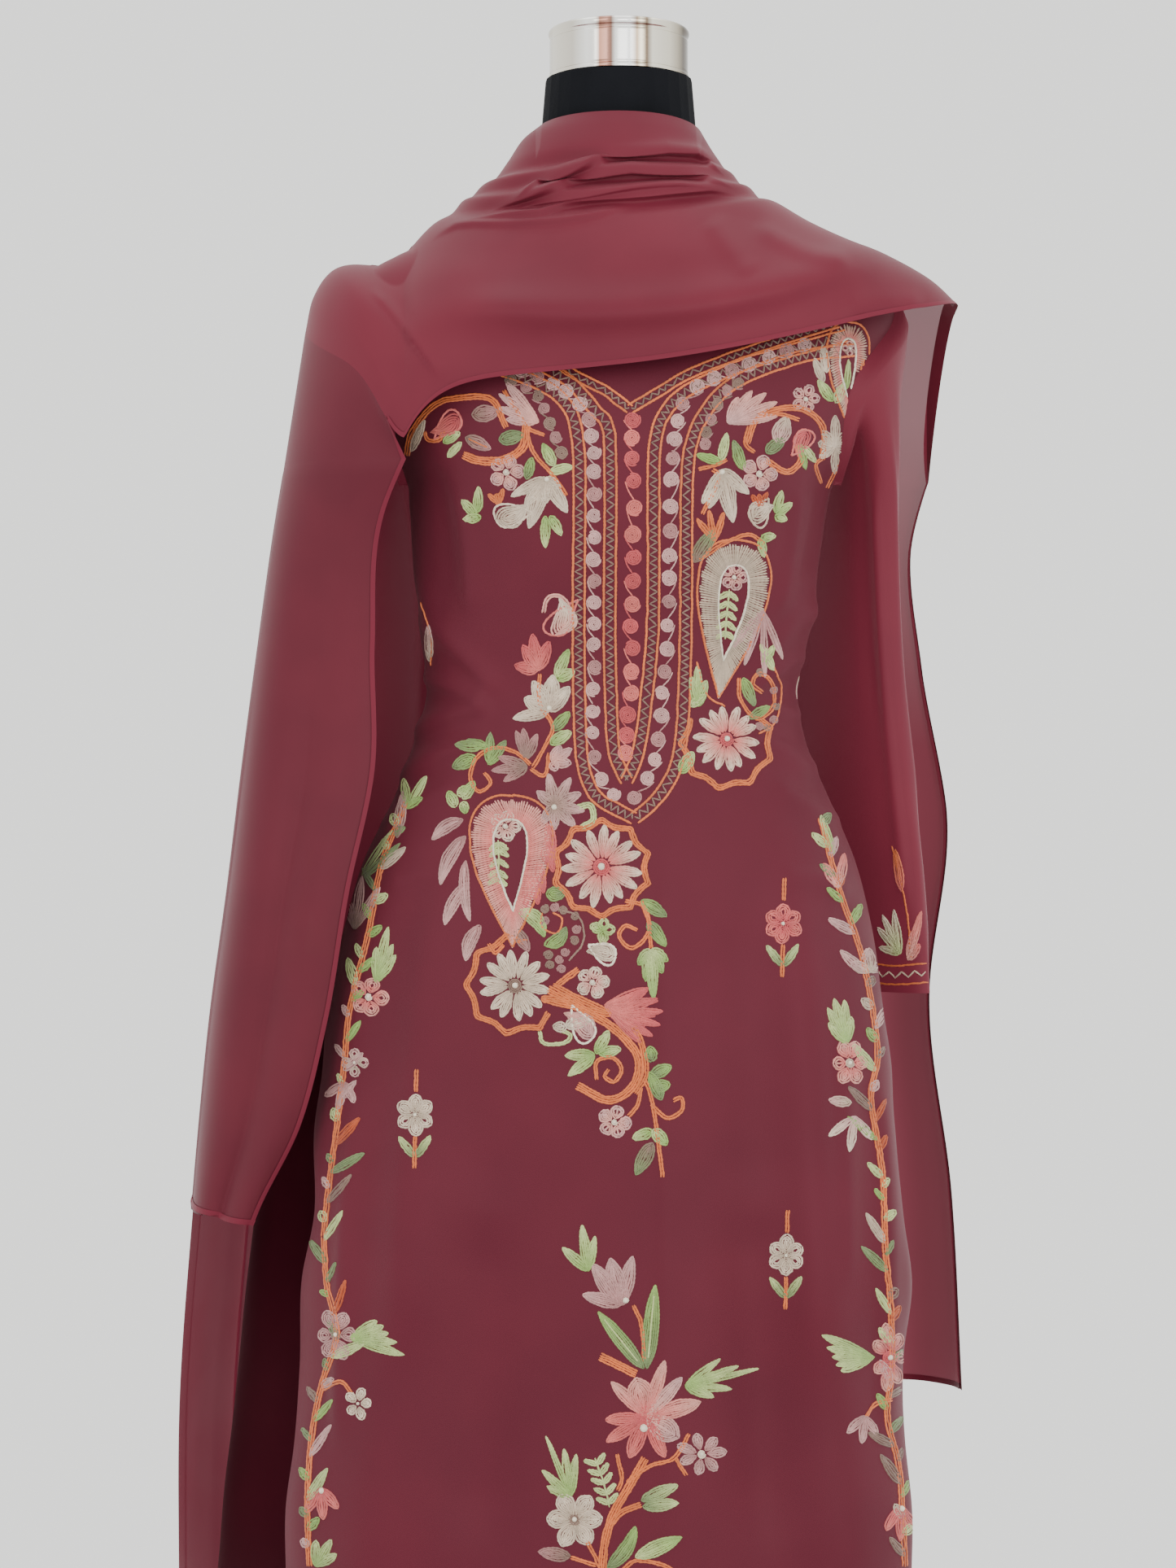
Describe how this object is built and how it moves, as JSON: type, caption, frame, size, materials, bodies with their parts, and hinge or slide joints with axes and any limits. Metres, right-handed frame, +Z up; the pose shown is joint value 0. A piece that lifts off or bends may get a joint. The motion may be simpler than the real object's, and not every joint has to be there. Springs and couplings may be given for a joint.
{
  "type": "salwar kameez suit with dupatta on a limbless dress form",
  "caption": "Embroidered knee-length kameez, salwar trousers and a sheer dupatta draped over the shoulders, on a limbless dress form with a round stand.",
  "frame": {"origin": "middle of the stand's underside, on the floor", "axes": "+Z up, the front of the suit faces -Y, +X to the right of the picture"},
  "size_m": [0.595, 0.3814, 1.531],
  "materials": {
    "plum_georgette": "plum georgette with a fine crepe weave, soft sheen",
    "sheer_plum": "sheer plum chiffon, soft sheen",
    "black_jersey": "matt black jersey cover",
    "chrome": "polished chrome",
    "stand_metal": "satin black paint"
  },
  "bodies": {
    "root": {"kameez_front": "plum_georgette", "kameez_back": "plum_georgette", "sleeve_left": "plum_georgette", "sleeve_right": "plum_georgette", "salwar_belt": "plum_georgette", "salwar_leg_left": "plum_georgette", "salwar_leg_right": "plum_georgette", "salwar_cuff_left": "plum_georgette", "salwar_cuff_right": "plum_georgette", "dupatta_cowl": "sheer_plum", "dupatta_left_front": "sheer_plum", "dupatta_left_back": "sheer_plum", "dupatta_right_back": "sheer_plum", "form_torso": "black_jersey", "form_cap": "chrome", "form_pole": "stand_metal", "form_base": "stand_metal"}
  },
  "joints": []
}
